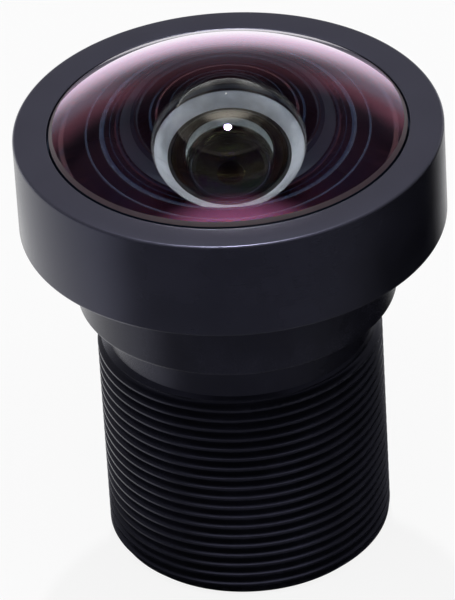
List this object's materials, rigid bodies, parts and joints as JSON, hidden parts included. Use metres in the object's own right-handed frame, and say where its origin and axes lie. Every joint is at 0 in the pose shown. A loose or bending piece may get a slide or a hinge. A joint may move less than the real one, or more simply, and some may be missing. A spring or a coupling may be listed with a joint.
{
  "type": "board camera lens",
  "caption": "Wide-angle board camera lens: domed coated front glass under a wide cap ring, threaded barrel, inner lenses with spacers, an aperture stop and a rear filter.",
  "frame": {"origin": "centre of the barrel's rear end face, on the optical axis", "axes": "+Z along the optical axis, from the sensor side towards the front glass; the part is round about it"},
  "size_m": [0.0178, 0.0178, 0.0222],
  "materials": {
    "barrel_anodised": "black anodised, satin, fine turned",
    "cap_anodised": "black anodised, bead blasted, satin",
    "inner_anodised": "black anodised, matt",
    "spacer_clear_anodised": "clear anodised, satin, fine turned",
    "coated_front_glass": "polished, multi-layer anti-reflection coating, ground bevel",
    "coated_inner_glass": "polished, anti-reflection coating, blackened edge",
    "filter_glass": "polished, infrared-cut coating",
    "black_film": "matt black film",
    "filter_ring_plastic": "moulded, matt",
    "seal_rubber": "smooth"
  },
  "bodies": {
    "root": {"barrel": "barrel_anodised", "front_cap": "cap_anodised", "front_lens": "coated_front_glass", "front_seal": "seal_rubber", "front_baffle": "inner_anodised", "second_lens": "coated_inner_glass", "light_stop_front": "black_film", "spacer_front": "spacer_clear_anodised", "third_lens": "coated_inner_glass", "spacer_before_stop": "inner_anodised", "aperture_stop": "black_film", "spacer_after_stop": "inner_anodised", "doublet_front_lens": "coated_inner_glass", "doublet_rear_lens": "coated_inner_glass", "light_stop_middle": "black_film", "spacer_rear": "inner_anodised", "rear_lens": "coated_inner_glass", "light_stop_rear": "black_film", "rear_retaining_ring": "inner_anodised", "ir_filter": "filter_glass", "filter_ring": "filter_ring_plastic"}
  },
  "joints": []
}
